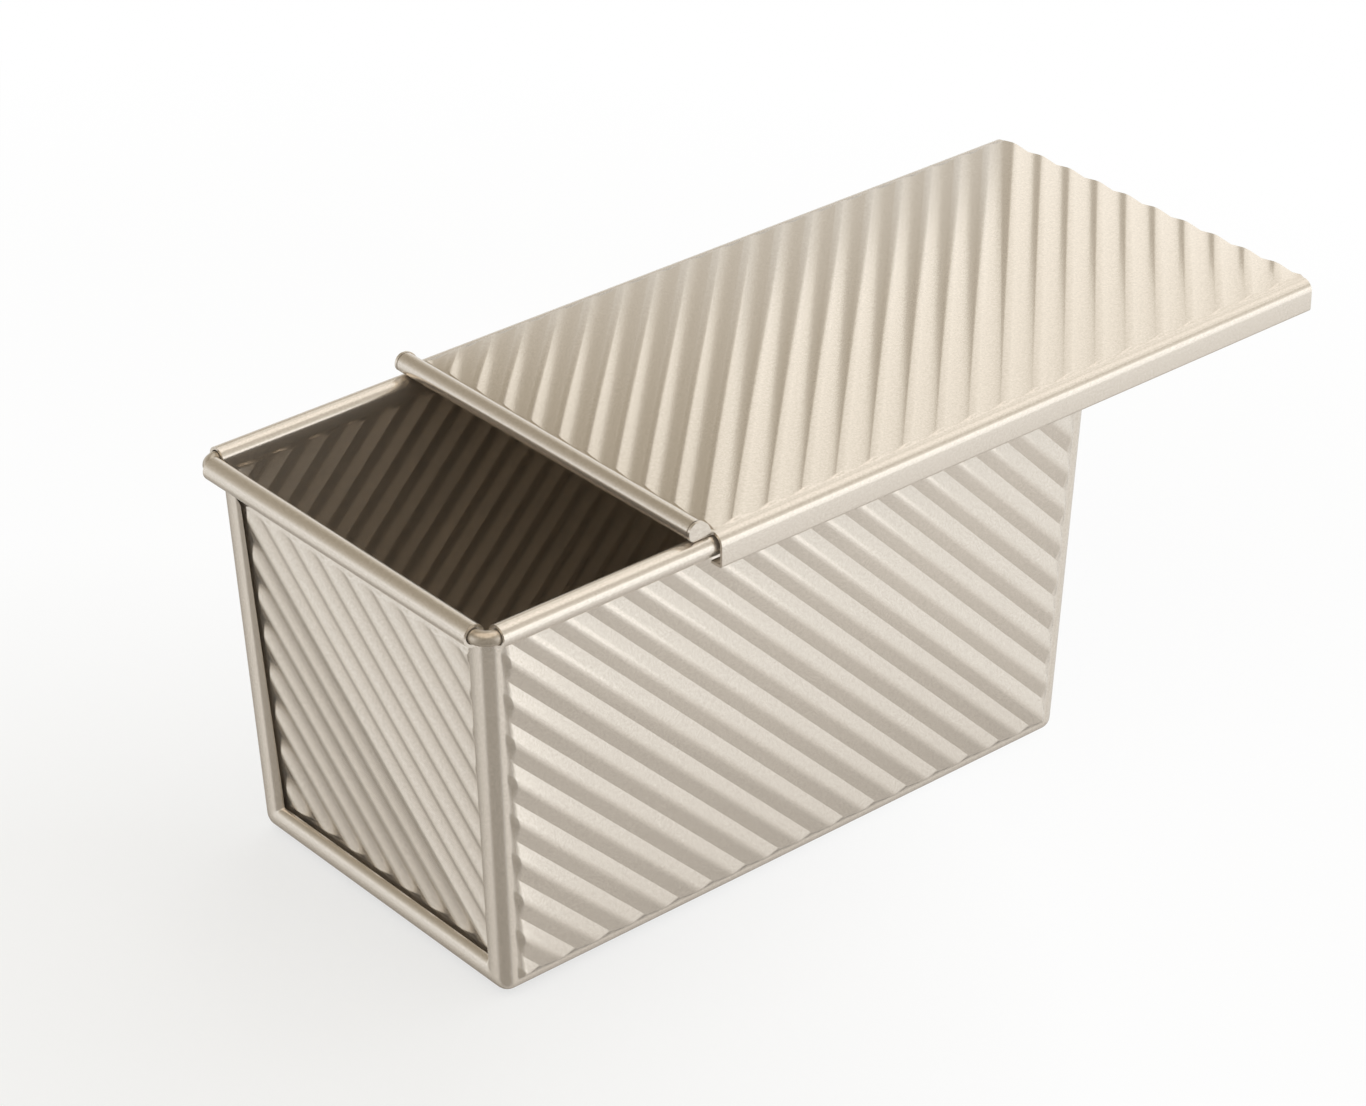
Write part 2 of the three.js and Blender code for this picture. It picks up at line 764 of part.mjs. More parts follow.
function named(name, geometry, material) {
  const mesh = new THREE.Mesh(geometry, material)
  mesh.name = name
  return mesh
}

const pan = new THREE.Group()
pan.name = 'loaf_pan'
pan.add(
  named('body_wrapper', bodyWrapper(), coated(0xcbbda8)),
  named('front_end_plate', endPlate(), coated(0xc9bda9)),
  named('rear_end_plate', endPlate().rotateZ(Math.PI), coated(0xc9bda9)),
  named('rim_wire', rimWire(), coated(0xb5a68f)),
  named('lid_panel', lidPanel(), coated(0xd0c3ae)),
)

export default pan
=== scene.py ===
import math

import bpy
from mathutils import Matrix, Vector


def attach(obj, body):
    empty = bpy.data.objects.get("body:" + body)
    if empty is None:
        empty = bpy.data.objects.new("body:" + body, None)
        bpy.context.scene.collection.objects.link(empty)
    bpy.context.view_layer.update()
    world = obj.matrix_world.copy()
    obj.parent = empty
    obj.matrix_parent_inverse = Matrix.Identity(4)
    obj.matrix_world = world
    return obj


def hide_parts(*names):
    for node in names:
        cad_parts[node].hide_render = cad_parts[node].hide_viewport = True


# Looks of the lidded loaf pan. Lengths are in metres, and angles in degrees but for the camera's.
# Each sheet piece is drawn flat, with finer ribs and bends than the solids, and folded to shape.

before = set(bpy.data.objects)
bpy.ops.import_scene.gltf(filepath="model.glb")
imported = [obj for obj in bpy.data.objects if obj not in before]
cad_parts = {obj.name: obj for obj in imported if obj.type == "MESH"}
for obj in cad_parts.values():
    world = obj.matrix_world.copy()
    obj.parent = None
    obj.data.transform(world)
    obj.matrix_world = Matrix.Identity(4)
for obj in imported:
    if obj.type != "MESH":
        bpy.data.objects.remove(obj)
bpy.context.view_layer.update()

# Sheet, wire and working gap
SHEET = 0.0008
WIRE_RADIUS = 0.002
FIT_GAP = 0.0003

# Pan over its rims and rib crests
PAN_LENGTH = 0.2134
PAN_WIDTH = 0.1219
PAN_HEIGHT = 0.1147

# Ribs at 45 degrees, with rounded crests, straight flanks and sharp valleys. A crest's place is
# read across the ribs.
RIB_PITCH = 0.01146
PLATE_RIB_PITCH = 0.01163
RIB_HEIGHT = 0.0013
LID_RIB_HEIGHT = 0.0008
PLATE_RIB_HEIGHT = 0.00095
CREST_SHARE = 0.3
VALLEY_SHARE = 1 / 2
CREST_STEPS = 6
WRAPPER_CREST = -0.001
LID_CREST = 0.0106
PLATE_CREST = 0.0052
FADE_STEPS = 4

# Wrapper: bottom and long sides in one sheet
BASE_HALF_WIDTH = 0.0522
BASE_HALF_LENGTH = 0.09685
LIP_HALF_LENGTH_TOP = 0.1016
BOTTOM_BEND = 0.0035
SIDE_BEAD_HALF = 0.0997
CURL_SWEEP = 280
BEND_MARGIN = 0.0001
RIM_MARGIN = 0.002
CORNER_MARGIN = 0.0004
BEND_FADE = 0.0018
CORNER_FADE = 0.0025

# Hem folded round the U-shaped ends of the wrapper
HEM_CORNER = 0.004
HEM_LIP_FLAT = 0.0008
HEM_BACK = 0.003
HEM_MITRE = 0.0004
HEM_TOP_DROP = 0.0041
HEM_RELIEF = 0.001
HEM_CUT = 0.0055
HEM_BACK_GAP = 0.0012

# End plates, set back inside the hem
PLATE_SET_BACK = 0.0039
PLATE_HALF_LENGTH_TOP = 0.0996
PLATE_RIB_GAP = 0.0003
PLATE_FADE = 0.0015
PLATE_BAND = 0.008
PLATE_TOP_MARGIN = 0.0006
PLATE_TOP_FADE = 0.002
PLATE_FLANGE = 0.0022
PLATE_FLANGE_BACK = 0.0018
END_BEAD_HALF = 0.054

# Wire ring in the rims
WIRE_CORNER = 0.004

# Lid. Its places along X are those of the photograph.
LID_REAR = 0.1791
LID_HALF_WIDTH = 0.0625
LID_CORNER = 0.0032
LID_LIP_BEND = 0.0012
LID_FLANGE = 0.0093
LID_LIP = 0.0042
LID_FLANGE_FRONT = -0.0331
LID_SIDE_MARGIN = 0.0001
LID_SIDE_FADE = 0.0013
LID_FRONT_MARGIN = 0.0001
LID_FRONT_FADE = 0.0012
LID_BEAD = -0.0385
LID_BEAD_HALF = 0.0586
LID_CURL = 0.002
LID_CURL_SWEEP = 290
LID_EAR_REAR = -0.0342
LID_EAR_TOP = 75

# Fineness, the reach within which two points are one and the angle up to which edges are smooth
CURL_STEPS = 28
BEND_STEPS = 8
WIRE_STEPS = 28
WIRE_CORNER_STEPS = 12
EAR_STEPS = 14
MERGE = 0.00002
SMOOTH_BELOW = 30

# Champagne coating of the sheets and of the wire, between the dark and the light of its grain
COAT_LIGHT = (0.83, 0.772, 0.697)
COAT_DARK = (0.74, 0.686, 0.613)
COAT_ROUGHNESS = 0.22
# The wire's coat colours are darker than the sheets': painted shade for the shade where the wire
# shows between the curled rims at the corners.
WIRE_SHADED_COAT_LIGHT = (0.62, 0.56, 0.48)
WIRE_SHADED_COAT_DARK = (0.52, 0.46, 0.38)
WIRE_COAT_ROUGHNESS = 0.3
METAL_SHARE = 0.8

# Grain of the coating in colour and relief, darkest and lightest at two shares of the noise
GRAIN_SCALE = 1600
GRAIN_DETAIL = 3
GRAIN_DARK_SHARE = 0.3
GRAIN_LIGHT_SHARE = 0.7
GRAIN_RELIEF = 0.0001
GRAIN_RELIEF_SHARE = 0.1

# Floor. The camera sees a share of plain white in it, by the distance from the pan's shaded end,
# and glossy rays pass a share of it.
FLOOR_HALF = 2.2
FLOOR_COLOR = (0.88, 0.94, 1, 1)
FLOOR_SHADED_PLACE = (-0.2, 0, 0)
FLOOR_WHITE_SHARES = ((0.1, 0.61), (0.26, 0.93), (0.46, 0.94), (0.62, 1))
FLOOR_CLEAR_SHARE = 0.85

# Colour of the surround by the sine of the elevation
SURROUND = (
    (-1, (0.5, 0.47, 0.44)),
    (-0.83, (0.58, 0.55, 0.52)),
    (-0.73, (0.7, 0.67, 0.64)),
    (-0.54, (0.9, 0.88, 0.86)),
    (-0.29, (1.03, 1.03, 1.03)),
    (0, (1.03, 1.03, 1.03)),
    (0.19, (0.85, 0.84, 0.82)),
    (0.44, (0.53, 0.495, 0.43)),
    (0.62, (0.39, 0.355, 0.29)),
    (0.77, (0.28, 0.24, 0.18)),
    (1, (0.27, 0.19, 0.11)),
)

# Directions in which the surround is dimmer and warmer. The share of it that is left goes by the
# cosine of the angle from the direction.
DIM_SHARES = (
    ((-0.6, -0.7, -0.39), (
        (0.56, (1, 1, 1)),
        (0.8, (0.34, 0.315, 0.285)),
    )),
    ((0.16, 0.7, -0.7), (
        (0.35, (1, 1, 1)),
        (0.5, (0.93, 0.93, 0.93)),
        (0.75, (0.86, 0.85, 0.83)),
        (0.93, (0.46, 0.435, 0.4)),
    )),
    ((0.29, 0.894, 0.342), (
        (0.9, (1, 1, 1)),
        (0.985, (0.84, 0.81, 0.76)),
    )),
)

# Wide soft lamps: azimuth, elevation, width across, strength, and the colour where it isn't white
SUNS = {
    "key": (11, 40, 68, 0.62),
    "high": (0, 60, 36, 0.08),
    "top": (-135, 75, 70, 1, (1, 0.93, 0.84)),
    "right": (-57, 32, 50, 0.15),
    "low_right": (-57, 0, 40, 0.17),
}

# Camera, with its angles in radians and its sensor and lens in millimetres
CAMERA_PLACE = (-0.6215, -0.7478, 0.6379)
CAMERA_YAW = 0.87198
CAMERA_PITCH = 0.52786
CAMERA_ROLL = -0.00771
SENSOR = 36
LENS = 112.35

# Places that follow from the sizes
MARGIN_LEVEL = RIB_HEIGHT
CURL_RADIUS = WIRE_RADIUS + FIT_GAP
BEAD_RADIUS = CURL_RADIUS + SHEET
BEAD_LEVEL = PAN_HEIGHT - BEAD_RADIUS
SIDE_BEAD = PAN_WIDTH / 2 - BEAD_RADIUS
END_BEAD = PAN_LENGTH / 2 - BEAD_RADIUS
SIDE_HEIGHT = BEAD_LEVEL - MARGIN_LEVEL
HEM_DEPTH = HEM_CORNER + HEM_LIP_FLAT + HEM_BACK
LIP_SLOPE = (LIP_HALF_LENGTH_TOP - BASE_HALF_LENGTH) / SIDE_HEIGHT
PLATE_BASE = BASE_HALF_LENGTH - PLATE_SET_BACK
PLATE_SLOPE = (PLATE_HALF_LENGTH_TOP - PLATE_BASE) / SIDE_HEIGHT
BAND_LEVEL = BEAD_LEVEL - PLATE_BAND
LID_TOP = PAN_HEIGHT + FIT_GAP + SHEET
LID_BEND = LID_HALF_WIDTH - LID_CORNER
LID_EAR_BEND = FIT_GAP
LID_EAR_ROUND = LID_CURL + SHEET
LID_EAR_HEIGHT = LID_CURL + LID_EAR_ROUND
QUARTER = math.pi / 2


class Path:
    """A path in a plane, made of straight runs and arcs and read by the distance along it."""

    def __init__(self, a, b, heading):
        self.end = (a, b, heading)
        self.length = 0
        self.stops = [0]
        self.runs = []

    def line(self, length):
        return self.run(length, 0, 1)

    def arc(self, radius, turn, steps):
        return self.run(radius * abs(turn), math.copysign(1, turn) / radius, steps)

    def run(self, length, bend, steps):
        self.runs.append((self.length, self.end, bend))
        self.stops += [self.length + length * step / steps for step in range(1, steps + 1)]
        self.end = self.along(self.end, bend, length)
        self.length += length
        return self

    def along(self, start, bend, distance):
        a, b, first = start
        heading = first + bend * distance
        if bend == 0:
            return a + distance * math.cos(first), b + distance * math.sin(first), heading
        a += (math.sin(heading) - math.sin(first)) / bend
        b -= (math.cos(heading) - math.cos(first)) / bend
        return a, b, heading

    def at(self, distance, offset=0):
        """The point at a distance, shifted to the left by an offset."""
        start, end, bend = [run for run in self.runs if run[0] <= distance + MERGE][-1]
        a, b, heading = self.along(end, bend, distance - start)
        return a - offset * math.sin(heading), b + offset * math.cos(heading)


class Blank:
    """A piece of sheet metal laid out flat. A point is its place on the flat blank and where its
    outer and inner faces go when the blank is folded."""

    def __init__(self):
        self.points = []
        self.cells = {}
        self.faces = []

    def index(self, point):
        """Number of a point, which is an older one where that lies within reach."""
        (u, v), outer, inner = point
        column, row = round(u / MERGE), round(v / MERGE)
        for near_column in (column, column - 1, column + 1):
            for near_row in (row, row - 1, row + 1):
                known = self.cells.get((near_column, near_row))
                if known is not None:
                    return known
        self.cells[column, row] = len(self.points)
        self.points.append(point)
        return len(self.points) - 1

    def polygon(self, points):
        """Adds a face, unless its points fall together."""
        corners = []
        for point in points:
            corner = self.index(point)
            if corner not in corners:
                corners.append(corner)
        if len(corners) < 3:
            return
        flats = [self.points[corner][0] for corner in corners]
        pairs = zip(flats, flats[1:] + flats[:1])
        area = sum(p[0] * q[1] - q[0] * p[1] for p, q in pairs)
        if abs(area) > MERGE * MERGE:
            self.faces.append(corners if area > 0 else corners[::-1])

    def strip(self, left, right):
        """Fills the strip between two rows of points, always taking the shorter step."""
        a = b = 0
        while a < len(left) - 1 or b < len(right) - 1:
            step_a = math.dist(left[a + 1][0], right[b][0]) if a < len(left) - 1 else math.inf
            step_b = math.dist(right[b + 1][0], left[a][0]) if b < len(right) - 1 else math.inf
            if step_a <= step_b:
                self.polygon([left[a], left[a + 1], right[b]])
                a += 1
            else:
                self.polygon([left[a], right[b], right[b + 1]])
                b += 1

    def grid(self, rows):
        """Fills between neighbouring rows that have the same number of points."""
        for low, high in zip(rows, rows[1:]):
            for column in range(1, len(low)):
                quad = [low[column - 1], low[column], high[column], high[column - 1]]
                self.polygon(quad)

    def solid(self, name):
        """Both faces of the folded sheet and the cut edges between them, as an object."""
        count = len(self.points)
        places = [point[1] for point in self.points] + [point[2] for point in self.points]
        faces = list(self.faces)
        faces += [[corner + count for corner in reversed(face)] for face in self.faces]
        edges = set()
        for face in self.faces:
            edges.update(zip(face, face[1:] + face[:1]))
        for start, end in edges:
            if (end, start) not in edges:
                faces.append([end, start, start + count, end + count])
        return solid_object(name, places, faces)


def solid_object(name, places, faces):
    """A closed object with its faces outwards, smooth except at sharp creases."""
    volume = 0
    for face in faces:
        first = Vector(places[face[0]])
        for second, third in zip(face[1:], face[2:]):
            volume += first.dot(Vector(places[second]).cross(Vector(places[third])))
    if volume < 0:
        faces = [face[::-1] for face in faces]
    mesh = bpy.data.meshes.new(name)
    mesh.from_pydata(places, [], faces)
    mesh.polygons.foreach_set("use_smooth", [True] * len(mesh.polygons))
    mesh.set_sharp_from_angle(angle=math.radians(SMOOTH_BELOW))
    made = bpy.data.objects.new(name, mesh)
    bpy.context.scene.collection.objects.link(made)
    return made


class Ribs:
    """Ribs with round crests and sharp valleys, a pitch apart and counted from one crest."""

    def __init__(self, crest, pitch, height):
        self.crest = crest
        self.pitch = pitch
        self.height = height

    def height_at(self, across):
        """Height at a place read across the ribs."""
        turns = (across - self.crest) / self.pitch
        off = abs(turns - round(turns))
        half = CREST_SHARE / 2
        cap = 1 / (half - half * half)
        if off < half:
            return self.height * (1 - cap * off * off)
        return self.height * 2 * cap * half * (VALLEY_SHARE - off)

    def creases(self, low, high):
        """Every line at which the drawn surface turns between two places, with some to spare."""
        half = CREST_SHARE / 2
        shares = [half * (2 * step / CREST_STEPS - 1) for step in range(CREST_STEPS + 1)]
        shares.append(VALLEY_SHARE)
        first = math.floor((low - self.crest) / self.pitch) - 1
        last = math.ceil((high - self.crest) / self.pitch) + 1
        ribs = range(first, last + 1)
        return [self.crest + (rib + share) * self.pitch for rib in ribs for share in shares]


def between(first, second, share):
    return tuple(p + (q - p) * share for p, q in zip(first, second))


class RibbedPanel:
    """A panel with full ribs in the field that fade out to nothing at the edge. Both are four
    corners, and the ribs run along u = v on the blank."""

    def __init__(self, blank, field, edge, ribs, fold):
        self.blank = blank
        self.ribs = ribs
        self.fold = fold
        rings = []
        for step in range(FADE_STEPS + 1):
            share = step / FADE_STEPS
            fade = share * share * (3 - 2 * share)
            rings.append([(*between(out, full, share), fade) for out, full in zip(edge, field)])
        self.edge = rings[0]
        self.add_ribs(rings[-1])
        for outer, inner in zip(rings, rings[1:]):
            for side in range(len(edge)):
                after = (side + 1) % len(edge)
                self.add_ribs([outer[side], outer[after], inner[after], inner[side]])

    def clip(self, polygon, crease, sign):
        """Keeps the part of a polygon on one side of a crease."""
        kept = []
        for point, after in zip(polygon, polygon[1:] + polygon[:1]):
            here = sign * (point[0] - point[1] - crease)
            there = sign * (after[0] - after[1] - crease)
            if here >= 0:
                kept.append(point)
            if here * there < 0:
                kept.append(between(point, after, here / (here - there)))
        return kept

    def add_ribs(self, polygon):
        """Cuts a polygon along every crease that crosses it."""
        places = [u - v for u, v, fade in polygon]
        creases = self.ribs.creases(min(places), max(places))
        for low, high in zip(creases, creases[1:]):
            facet = self.clip(self.clip(polygon, low, 1), high, -1)
            self.blank.polygon([self.rib_point(point) for point in facet])

    def rib_point(self, point):
        u, v, fade = point
        return self.fold(u, v, fade * self.ribs.height_at(u - v))

    def side(self, number):
        """The points of one side of the edge, with one at each crease that reaches it."""
        first = self.edge[number]
        second = self.edge[(number + 1) % len(self.edge)]
        start, end = first[0] - first[1], second[0] - second[1]
        creases = self.ribs.creases(min(start, end), max(start, end))
        shares = sorted((crease - start) / (end - start) for crease in creases)
        shares = [0] + [share for share in shares if 0 < share < 1] + [1]
        return [self.rib_point(between(first, second, share)) for share in shares]


def lean_to(place, level, bead):
    """Angle from the vertical of a line from a point that touches a bead on its inner side."""
    out, up = bead - place, BEAD_LEVEL - level
    return math.atan2(out, up) - math.asin(CURL_RADIUS / math.hypot(out, up))


def run_to(place, level, bead):
    """Length of that line up to the bead."""
    return math.sqrt((bead - place) ** 2 + (BEAD_LEVEL - level) ** 2 - CURL_RADIUS**2)


# Outer face of the wrapper across the pan, from the middle of the bottom to the end of the curl
WALL_LEAN = lean_to(BASE_HALF_WIDTH, MARGIN_LEVEL, SIDE_BEAD)
BOTTOM_TURN = QUARTER - WALL_LEAN
BEND_TANGENT = BOTTOM_BEND * math.tan(BOTTOM_TURN / 2)
BOTTOM_END = BASE_HALF_WIDTH - BEND_TANGENT
WALL_START = BOTTOM_END + BOTTOM_BEND * BOTTOM_TURN
WALL_END = WALL_START + run_to(BASE_HALF_WIDTH, MARGIN_LEVEL, SIDE_BEAD) - BEND_TANGENT
SECTION = Path(0, MARGIN_LEVEL, 0)
SECTION.line(BOTTOM_END).arc(BOTTOM_BEND, BOTTOM_TURN, BEND_STEPS)
SECTION.line(WALL_END - WALL_START).arc(CURL_RADIUS, -math.radians(CURL_SWEEP), CURL_STEPS)
BEND_STOPS = [stop for stop in SECTION.stops if BOTTOM_END + MERGE < stop < WALL_START - MERGE]
BEND_ROWS = [BOTTOM_END, *BEND_STOPS, WALL_START]
CURL_ROWS = [WALL_END] + [stop for stop in SECTION.stops if stop > WALL_END + MERGE]
HEM_TOP = WALL_END - HEM_TOP_DROP
RELIEF_TOP = HEM_TOP + HEM_RELIEF
HEM_CUT_FOOT = HEM_TOP - HEM_CUT

# Hem from the start of its corner: out and round to the back of the lip
HEM = Path(0, 0, 0).arc(HEM_CORNER, QUARTER, BEND_STEPS).line(HEM_LIP_FLAT)
HEM.arc(HEM_BACK, QUARTER, BEND_STEPS)
HEM_CORNER_END = HEM_CORNER * QUARTER


def hem_start(level):
    """Half length of the wrapper up to the start of its hem."""
    return BASE_HALF_LENGTH - HEM_CORNER + (level - MARGIN_LEVEL) * LIP_SLOPE


def start_at(reach):
    """Half length up to the start of the hem, at a place across the wrapper's blank."""
    return hem_start(min(SECTION.at(abs(reach))[1], BEAD_LEVEL))


def plate_face(level):
    """Half length of the pan at the valleys of the end plates."""
    return PLATE_BASE + (level - MARGIN_LEVEL) * PLATE_SLOPE


def inside(reach, depth):
    """A point at a depth inside the wrapper's outer face, with a tight mitre in the bends."""
    bent = BOTTOM_END - MERGE < reach < WALL_START + MERGE
    if not bent or depth <= SHEET:
        return SECTION.at(reach, depth)
    skin = SECTION.at(reach, SHEET)
    turned = (reach - BOTTOM_END) / BOTTOM_BEND
    mitre = HEM_DEPTH + HEM_MITRE
    centre = BASE_HALF_WIDTH - mitre * math.tan(BOTTOM_TURN / 2)
    a = centre + HEM_MITRE * math.sin(turned)
    b = MARGIN_LEVEL + mitre - HEM_MITRE * math.cos(turned)
    return between(skin, (a, b), (depth - SHEET) / (HEM_DEPTH - SHEET))


def behind_lip(out, offset, level):
    """How far a point on the back of the hem lies behind the lip's face."""
    closed = hem_start(level) + HEM_CORNER - plate_face(level) - HEM_BACK_GAP
    share = (closed - offset) / (HEM_BACK - offset)
    return offset + (HEM_CORNER - out - offset) * share


def fold_wrapper(along, across, lift=0):
    """Folds a point of the wrapper's blank. Along is X, and across runs from side to side."""
    side = math.copysign(1, across)
    end = math.copysign(1, along)
    reach = abs(across)
    beyond = abs(along) - start_at(reach)
    skins = []
    for offset in (0, SHEET):
        if beyond < MERGE or reach > HEM_TOP + MERGE:
            a, b = inside(reach, offset - lift)
            skins.append((along, side * a, b))
            continue
        out, depth = HEM.at(beyond, offset)
        a, b = inside(reach, depth)
        past_lip = beyond > HEM_CORNER_END + MERGE
        behind = behind_lip(out, offset, b) if past_lip else HEM_CORNER - out
        skins.append((end * (hem_start(b) + HEM_CORNER - behind), side * a, b))
    return (along, across), *skins


def add_wrapper_panel(blank, low, high, margins, side_stops):
    """One ribbed panel of the wrapper between two places across the blank."""
    way = math.copysign(1, high - low)

    def corners(inset, end_inset):
        lower = low + (margins[0] + inset) * way
        upper = high - (margins[1] + inset) * way
        lower_end, upper_end = start_at(lower) - end_inset, start_at(upper) - end_inset
        return [(-lower_end, lower), (lower_end, lower), (upper_end, upper), (-upper_end, upper)]

    field = corners(BEND_FADE, CORNER_MARGIN + CORNER_FADE)
    edge = corners(0, CORNER_MARGIN)
    ribs = Ribs(WRAPPER_CREST, RIB_PITCH, RIB_HEIGHT)
    panel = RibbedPanel(blank, field, edge, ribs, fold_wrapper)
    stops = [low, *side_stops, high]
    rims = {end: [fold_wrapper(end * start_at(stop), stop) for stop in stops] for end in (-1, 1)}
    blank.strip(panel.side(0), [rims[-1][0], rims[1][0]])
    blank.strip(panel.side(1), rims[1])
    blank.strip(panel.side(2), [rims[1][-1], rims[-1][-1]])
    blank.strip(panel.side(3), rims[-1][::-1])


def hem_cut_at(beyond):
    """Height on the blank at which the hem is cut off, falling slantwise from lip to back."""
    share = max(0, beyond - HEM_CORNER_END) / (HEM.length - HEM_CORNER_END)
    return HEM_TOP - HEM_CUT * share


def body_wrapper():
    """Bottom and long sides in one sheet, hemmed at both ends and rolled at the rims."""
    blank = Blank()
    add_wrapper_panel(blank, -BOTTOM_END, BOTTOM_END, (BEND_MARGIN, BEND_MARGIN), [])
    for side in (-1, 1):
        stops = [side * HEM_TOP, side * RELIEF_TOP]
        margins = (BEND_MARGIN, RIM_MARGIN)
        add_wrapper_panel(blank, side * WALL_START, side * WALL_END, margins, stops)

        # Bottom bend and curled rim, both plain along their whole length
        for rows in (BEND_ROWS, CURL_ROWS):
            blank.grid([
                [fold_wrapper(end * start_at(reach), side * reach) for end in (-1, 1)]
                for reach in rows
            ])
        for end in (-1, 1):
            # End of the rim beside the hem's relief
            blank.grid([
                [fold_wrapper(end * x, side * reach) for x in (start_at(reach), SIDE_BEAD_HALF)]
                for reach in [RELIEF_TOP, *CURL_ROWS]
            ])

            # Hem round the bend and up the side
            rows = [
                [fold_wrapper(end * (start_at(reach) + stop), side * reach) for stop in HEM.stops]
                for reach in BEND_ROWS
            ]
            tops = [(stop, hem_cut_at(stop)) for stop in HEM.stops]
            rows.append([
                fold_wrapper(end * (start_at(top) + stop), side * top) for stop, top in tops
            ])
            blank.grid(rows)

    # Hem along the bottom
    for end in (-1, 1):
        blank.grid([
            [fold_wrapper(end * (start_at(BOTTOM_END) + stop), place) for stop in HEM.stops]
            for place in (-BOTTOM_END, BOTTOM_END)
        ])
    return blank.solid("wrapper_sheet")


def fold_plate(y, z, lift=0):
    """A point of the front end plate's ribbed field, which stays nearly flat."""
    face = -plate_face(z) - lift
    return (y, z), (face, y, z), (face + SHEET, y, z)


def plate_corners(depth, top_inset):
    """Four corners of the end plate's field, at a depth inside the wrapper's outer face."""
    foot = MARGIN_LEVEL + depth
    head = BAND_LEVEL - top_inset
    slope = math.tan(WALL_LEAN)
    inset = depth / math.cos(WALL_LEAN)
    foot_half, head_half = [
        BASE_HALF_WIDTH + (level - MARGIN_LEVEL) * slope - inset for level in (foot, head)
    ]
    return [(head_half, head), (-head_half, head), (-foot_half, foot), (foot_half, foot)]


def plate_outline(side, reach):
    """Corner line of the plate's flange on both of its faces."""
    outer = inside(reach, PLATE_FLANGE + SHEET)
    inner = inside(reach, PLATE_FLANGE)
    outer_place = (-plate_face(outer[1]), side * outer[0], outer[1])
    inner_place = (SHEET - plate_face(inner[1]), side * inner[0], inner[1])
    return outer_place[1:], outer_place, inner_place


def plate_flange(side, reach):
    """Free edge of the flange inside the hem."""
    flat, outer, inner = plate_outline(side, reach)
    ends = [
        (PLATE_FLANGE_BACK - hem_start(place[2]) - HEM_CORNER, place[1], place[2])
        for place in (outer, inner)
    ]
    return inner[1:], *ends


def end_plate(name):
    """End plate at -X: a ribbed field, a flange inside the hem and a rolled rim."""
    blank = Blank()
    depth = HEM_DEPTH + PLATE_RIB_GAP
    edge = plate_corners(depth, PLATE_TOP_MARGIN)
    field = plate_corners(depth + PLATE_FADE, PLATE_TOP_MARGIN + PLATE_TOP_FADE)
    ribs = Ribs(PLATE_CREST, PLATE_RIB_PITCH, PLATE_RIB_HEIGHT)
    panel = RibbedPanel(blank, field, edge, ribs, fold_plate)

    def around(point, reaches):
        sides = [(-1, reach) for reach in reaches] + [(1, reach) for reach in reversed(reaches)]
        return [point(side, reach) for side, reach in sides]

    band_reach = WALL_START + (BAND_LEVEL - SECTION.at(WALL_START)[1]) / math.cos(WALL_LEAN)
    flange_rows = [HEM_CUT_FOOT, *reversed(BEND_ROWS)]
    in_edge = panel.side(1) + panel.side(2)[1:] + panel.side(3)[1:]
    blank.strip(in_edge, around(plate_outline, [band_reach, *flange_rows]))
    blank.grid([around(plate_outline, flange_rows), around(plate_flange, flange_rows)])

    # Band that leans out above the field, and the curled rim
    band_ends = [plate_outline(1, band_reach), plate_outline(-1, band_reach)]
    blank.strip(panel.side(0), band_ends)
    face, level = -band_ends[0][1][0], band_ends[0][1][2]
    rim = Path(face, level, QUARTER - lean_to(face, level, END_BEAD))
    rim.line(run_to(face, level, END_BEAD))
    rim.arc(CURL_RADIUS, -math.radians(CURL_SWEEP), CURL_STEPS)
    rows = [band_ends]
    for stop in rim.stops[1:]:
        outer, inner = rim.at(stop), rim.at(stop, SHEET)
        rows.append([
            ((y, level + stop), (-outer[0], y, outer[1]), (-inner[0], y, inner[1]))
            for y in (END_BEAD_HALF, -END_BEAD_HALF)
        ])
    blank.grid(rows)
    return blank.solid(name)


def rim_wire():
    """Wire ring that lies in all four curled rims and shows at the corners."""
    rings = []
    for corner, (sign_x, sign_y) in enumerate([(1, 1), (-1, 1), (-1, -1), (1, -1)]):
        x = sign_x * (END_BEAD - WIRE_CORNER)
        y = sign_y * (SIDE_BEAD - WIRE_CORNER)
        for step in range(WIRE_CORNER_STEPS + 1):
            angle = (corner + step / WIRE_CORNER_STEPS) * QUARTER
            out = Vector((math.cos(angle), math.sin(angle), 0))
            rings.append((Vector((x, y, BEAD_LEVEL)) + out * WIRE_CORNER, out))
    places, faces = [], []
    for ring, (centre, out) in enumerate(rings):
        after = (ring + 1) % len(rings)
        for step in range(WIRE_STEPS):
            angle = math.tau * step / WIRE_STEPS
            rise = Vector((0, 0, math.sin(angle)))
            places.append(tuple(centre + (out * math.cos(angle) + rise) * WIRE_RADIUS))
            beside = (step + 1) % WIRE_STEPS
            corners = [(ring, step), (after, step), (after, beside), (ring, beside)]
            faces.append([row * WIRE_STEPS + column for row, column in corners])
    return solid_object("wire_ring", places, faces)


# Top face of the lid over its long edges, up its ears and over its front edge
LID_SIDE = Path(LID_BEND, LID_TOP, 0).arc(LID_CORNER, -QUARTER, BEND_STEPS)
LID_SIDE.line(LID_FLANGE - LID_CORNER - LID_LIP_BEND).arc(LID_LIP_BEND, -QUARTER, BEND_STEPS)
LID_SIDE.line(LID_LIP - LID_LIP_BEND)
LID_EAR = Path(LID_BEAD_HALF, LID_TOP, 0).arc(LID_EAR_BEND, QUARTER, BEND_STEPS)
LID_EAR.line(LID_EAR_HEIGHT - LID_EAR_BEND)
LID_FRONT = Path(-LID_BEAD, LID_TOP, 0).arc(LID_CURL, math.radians(LID_CURL_SWEEP), CURL_STEPS)


